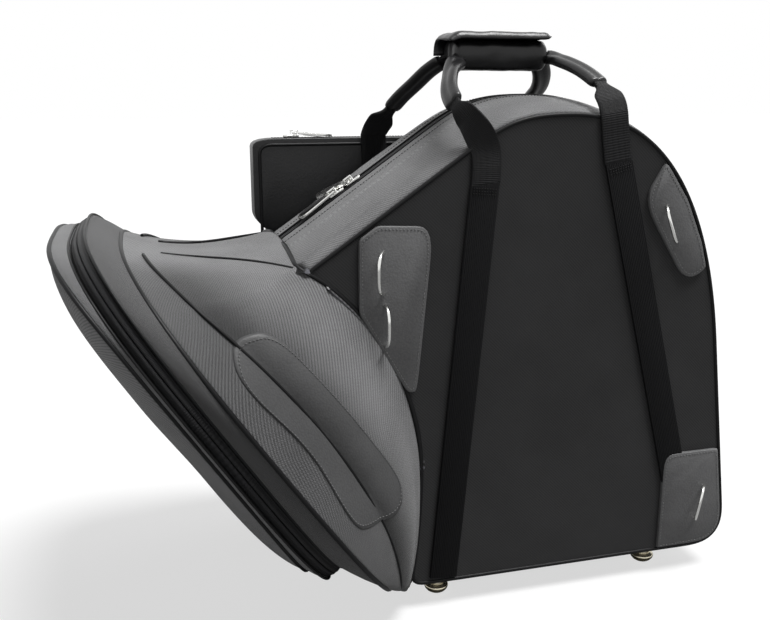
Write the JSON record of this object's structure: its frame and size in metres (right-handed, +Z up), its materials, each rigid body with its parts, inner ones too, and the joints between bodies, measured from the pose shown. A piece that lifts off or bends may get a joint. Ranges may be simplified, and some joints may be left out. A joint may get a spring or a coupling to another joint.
{
  "type": "french horn case",
  "caption": "Semi-rigid case for a french horn with a fixed bell: zipped arched body, round hinged bell lid, wrapped twin handles, sheet music pocket, strap rings and domed feet.",
  "frame": {"origin": "on the floor under the middle of the whole case", "axes": "+Z up, +X from the bell to the back, -Y towards the side with the rings"},
  "size_m": [0.5954, 0.354, 0.4953],
  "materials": {
    "panel_fabric": "closely woven ballistic nylon, charcoal black",
    "top_fabric": "closely woven ballistic nylon with a soft sheen",
    "base_fabric": "coarse woven nylon, black",
    "tape": "woven zipper tape with a black coil",
    "webbing": "ribbed nylon webbing, black",
    "leather": "pebbled leather with a light stitch line",
    "gloss_leather": "smooth black leather, slightly glossy",
    "padding": "plush over foam",
    "board": "thin plywood",
    "skid": "matt grey plastic strip",
    "nickel": "polished nickel plate",
    "brass": "pale polished brass"
  },
  "bodies": {
    "case": {"side_panel_near": "panel_fabric", "gusset_near": "top_fabric", "flare_flank_near": "top_fabric", "flare_lower_near": "panel_fabric", "flare_wear_patch_near": "leather", "main_zip_near": "tape", "strap_front_near": "webbing", "strap_rear_near": "webbing", "side_panel_far": "panel_fabric", "gusset_far": "top_fabric", "flare_flank_far": "top_fabric", "flare_lower_far": "panel_fabric", "flare_wear_patch_far": "leather", "main_zip_far": "tape", "strap_front_far": "webbing", "strap_rear_far": "webbing", "bottom_panel": "base_fabric", "flare_top": "top_fabric", "rim_band": "panel_fabric", "rim_zip_body": "tape", "patch_front": "leather", "patch_rear_upper": "leather", "patch_rear_lower": "leather", "pocket_shell": "gloss_leather", "pocket_zip": "tape", "base_board": "board", "cradle_pad": "padding", "rear_pad": "padding", "skid_front": "skid", "skid_rear": "skid", "foot_front_near": "brass", "foot_front_far": "brass", "foot_rear_near": "brass", "foot_rear_far": "brass"},
    "bell_lid": {"lid_band": "panel_fabric", "lid_face": "panel_fabric", "lid_pad": "padding", "rim_zip_lid": "tape"},
    "handle_near": {"handle_loop_near": "webbing", "sleeve_front_near": "gloss_leather", "sleeve_rear_near": "gloss_leather", "grip_pad_near": "gloss_leather"},
    "handle_far": {"handle_loop_far": "webbing", "sleeve_front_far": "gloss_leather", "sleeve_rear_far": "gloss_leather", "grip_pad_far": "gloss_leather"},
    "flap": {"grip_flap": "gloss_leather"},
    "ring_front_upper": {"ring_front_upper": "nickel"},
    "ring_front_lower": {"ring_front_lower": "nickel"},
    "ring_rear_upper": {"ring_rear_upper": "nickel"},
    "ring_rear_lower": {"ring_rear_lower": "nickel"},
    "slider_upper": {"slider_upper": "nickel"},
    "pull_upper": {"pull_upper": "nickel"},
    "slider_lower": {"slider_lower": "nickel"},
    "pull_lower": {"pull_lower": "nickel"},
    "slider_rim": {"slider_rim": "nickel"},
    "pull_rim": {"pull_rim": "nickel"},
    "slider_pocket": {"slider_pocket": "nickel"},
    "pull_pocket": {"pull_pocket": "nickel"}
  },
  "joints": [
    {"name": "bell_lid_hinge", "type": "hinge", "parent": "case", "child": "bell_lid", "pos_m": [-0.07859, 0, 0.04575], "axis": [0, -1, 0], "range_deg": [0, 50]},
    {"name": "handle_far_drop", "type": "hinge", "parent": "case", "child": "handle_far", "pos_m": [0.00111, 0.0979, 0.405], "axis": [-0.9997, 0, -0.0248], "range_deg": [0, 95]},
    {"name": "handle_near_drop", "type": "hinge", "parent": "case", "child": "handle_near", "pos_m": [0.04311, -0.0979, 0.374], "axis": [0.9921, 0, 0.1251], "range_deg": [0, 95]},
    {"name": "grip_flap_hinge", "type": "hinge", "parent": "handle_far", "child": "flap", "pos_m": [0.08811, 0.0233, 0.477], "axis": [-1, 0, 0], "range_deg": [0, 120]},
    {"name": "ring_front_upper_swing", "type": "hinge", "parent": "case", "child": "ring_front_upper", "pos_m": [-0.04089, -0.0968, 0.3055], "axis": [0, 0, 1], "range_deg": [-28, 92]},
    {"name": "ring_front_lower_swing", "type": "hinge", "parent": "case", "child": "ring_front_lower", "pos_m": [-0.04089, -0.0968, 0.262], "axis": [0, 0, 1], "range_deg": [-60, 60]},
    {"name": "ring_rear_upper_swing", "type": "hinge", "parent": "case", "child": "ring_rear_upper", "pos_m": [0.21711, -0.0968, 0.3355], "axis": [-0.3665, 0, 0.9304], "range_deg": [-27, 93]},
    {"name": "ring_rear_lower_swing", "type": "hinge", "parent": "case", "child": "ring_rear_lower", "pos_m": [0.26941, -0.0968, 0.0674], "axis": [0.1908, 0, 0.9816], "range_deg": [-24, 96]},
    {"name": "slider_upper_run", "type": "slide", "parent": "case", "child": "slider_upper", "axis": [0.8202, 0, 0.5721], "range_m": [0, 0.056]},
    {"name": "slider_lower_run", "type": "slide", "parent": "case", "child": "slider_lower", "axis": [-0.8202, 0, -0.5721], "range_m": [0, 0.024]},
    {"name": "slider_rim_run", "type": "slide", "parent": "case", "child": "slider_rim", "axis": [-0.5592, 0, 0.829], "range_m": [0, 0.09]},
    {"name": "slider_pocket_run", "type": "slide", "parent": "case", "child": "slider_pocket", "axis": [1, 0, 0], "range_m": [0, 0.17]},
    {"name": "pull_upper_lift", "type": "hinge", "parent": "slider_upper", "child": "pull_upper", "pos_m": [-0.04729, 0, 0.37017], "axis": [0.5488, 0.7431, 0.3828], "range_deg": [0, 100]},
    {"name": "pull_lower_lift", "type": "hinge", "parent": "slider_lower", "child": "pull_lower", "pos_m": [-0.06205, 0, 0.35987], "axis": [-0.1141, 0.9903, -0.0796], "range_deg": [0, 100]},
    {"name": "pull_rim_lift", "type": "hinge", "parent": "slider_rim", "child": "pull_rim", "pos_m": [-0.14888, 0.1736, 0.14996], "axis": [0.829, 0, 0.5592], "range_deg": [0, 100]},
    {"name": "pull_pocket_lift", "type": "hinge", "parent": "slider_pocket", "child": "pull_pocket", "pos_m": [-0.07559, 0.1102, 0.4066], "axis": [0, -1, 0], "range_deg": [0, 100]}
  ],
  "couplings": [
    {"joint": "handle_near_drop", "follows": "handle_far_drop", "ratio": 1}
  ]
}
